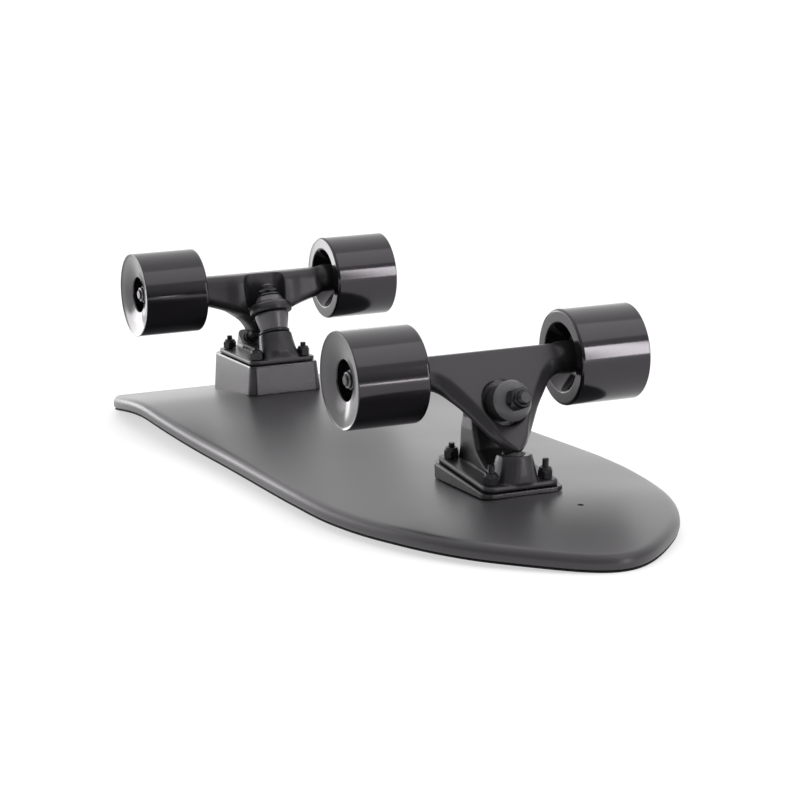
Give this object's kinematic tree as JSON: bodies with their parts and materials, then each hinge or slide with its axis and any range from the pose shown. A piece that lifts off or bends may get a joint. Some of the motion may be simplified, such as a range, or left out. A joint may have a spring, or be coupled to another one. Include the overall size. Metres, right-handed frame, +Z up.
{
  "type": "cruiser skateboard",
  "caption": "Surf-style cruiser skateboard upside down: kicked-tail deck, wedge and tall block risers, tall reverse-kingpin front truck, lower rear truck and wide soft wheels.",
  "frame": {"origin": "bottom centre of the bounding box: the board lies upside down on its nose and its tail, as pictured", "axes": "+X along the board to the nose, +Y to the wheels on the right in the picture, +Z up from the floor, which is away from the rider's side of the deck"},
  "size_m": [0.7504, 0.244, 0.1486],
  "materials": {
    "deck_grey": "satin dark grey stain and clear coat over maple",
    "grip_black": "black abrasive grip sheet",
    "riser_grey": "dark grey moulded urethane",
    "truck_black": "black coated casting, satin",
    "steel_black": "blackened steel",
    "nut_grey": "plain zinc steel",
    "bushing_black": "black cast urethane",
    "bushing_grey": "dark grey cast urethane",
    "cup_black": "black moulded cup",
    "wheel_black": "glossy black urethane",
    "bearing_dark": "dark shielded bearing"
  },
  "bodies": {
    "board_body": {"deck": "deck_grey", "grip_sheet": "grip_black", "front_riser": "riser_grey", "front_baseplate": "truck_black", "front_kingpin": "steel_black", "front_kingpin_nut": "steel_black", "front_upper_cup_washer": "steel_black", "front_lower_cup_washer": "steel_black", "front_pivot_cup": "cup_black", "front_road_bushing": "bushing_black", "front_board_bushing": "bushing_black", "rear_riser": "riser_grey", "rear_baseplate": "truck_black", "rear_kingpin": "steel_black", "rear_kingpin_nut": "steel_black", "rear_upper_cup_washer": "steel_black", "rear_lower_cup_washer": "steel_black", "rear_pivot_cup": "cup_black", "rear_board_bushing": "bushing_grey", "rear_road_bushing": "bushing_grey", "front_bolt_inner_left": "steel_black", "front_nut_inner_left": "steel_black", "front_bolt_inner_right": "steel_black", "front_nut_inner_right": "steel_black", "front_bolt_outer_left": "steel_black", "front_nut_outer_left": "steel_black", "front_bolt_outer_right": "steel_black", "front_nut_outer_right": "steel_black", "rear_bolt_inner_left": "steel_black", "rear_nut_inner_left": "steel_black", "rear_bolt_inner_right": "steel_black", "rear_nut_inner_right": "steel_black", "rear_bolt_outer_left": "steel_black", "rear_nut_outer_left": "steel_black", "rear_bolt_outer_right": "steel_black", "rear_nut_outer_right": "steel_black"},
    "front_hanger_body": {"front_hanger": "truck_black", "front_axle": "steel_black", "front_left_washer": "nut_grey", "front_right_washer": "nut_grey", "front_left_axle_nut": "nut_grey", "front_right_axle_nut": "nut_grey"},
    "front_left_wheel_body": {"front_left_wheel": "wheel_black", "front_left_outer_bearing": "bearing_dark", "front_left_inner_bearing": "bearing_dark"},
    "front_right_wheel_body": {"front_right_wheel": "wheel_black", "front_right_outer_bearing": "bearing_dark", "front_right_inner_bearing": "bearing_dark"},
    "rear_hanger_body": {"rear_hanger": "truck_black", "rear_axle": "steel_black", "rear_left_washer": "nut_grey", "rear_right_washer": "nut_grey", "rear_left_axle_nut": "nut_grey", "rear_right_axle_nut": "nut_grey"},
    "rear_left_wheel_body": {"rear_left_wheel": "wheel_black", "rear_left_outer_bearing": "bearing_dark", "rear_left_inner_bearing": "bearing_dark"},
    "rear_right_wheel_body": {"rear_right_wheel": "wheel_black", "rear_right_outer_bearing": "bearing_dark", "rear_right_inner_bearing": "bearing_dark"}
  },
  "joints": [
    {"name": "front_steering", "type": "hinge", "parent": "board_body", "child": "front_hanger_body", "pos_m": [0.222, 0, 0.04414], "axis": [-0.585, 0, 0.811], "range_deg": [-10, 10], "stiffness_Nm_per_rad": 45, "deforming": ["front_board_bushing", "front_road_bushing"]},
    {"name": "rear_steering", "type": "hinge", "parent": "board_body", "child": "rear_hanger_body", "pos_m": [-0.28402, 0, 0.06376], "axis": [0.8317, 0, 0.5552], "range_deg": [-10, 10], "stiffness_Nm_per_rad": 45, "deforming": ["rear_board_bushing", "rear_road_bushing"]},
    {"name": "front_left_wheel_spin", "type": "hinge", "parent": "front_hanger_body", "child": "front_left_wheel_body", "pos_m": [0.17836, -0.0844, 0.10598], "axis": [0, 1, 0], "continuous": true},
    {"name": "front_right_wheel_spin", "type": "hinge", "parent": "front_hanger_body", "child": "front_right_wheel_body", "pos_m": [0.17836, 0.0844, 0.10598], "axis": [0, 1, 0], "continuous": true},
    {"name": "rear_left_wheel_spin", "type": "hinge", "parent": "rear_hanger_body", "child": "rear_left_wheel_body", "pos_m": [-0.25856, -0.0844, 0.11429], "axis": [0, 1, 0], "continuous": true},
    {"name": "rear_right_wheel_spin", "type": "hinge", "parent": "rear_hanger_body", "child": "rear_right_wheel_body", "pos_m": [-0.25856, 0.0844, 0.11429], "axis": [0, 1, 0], "continuous": true}
  ]
}
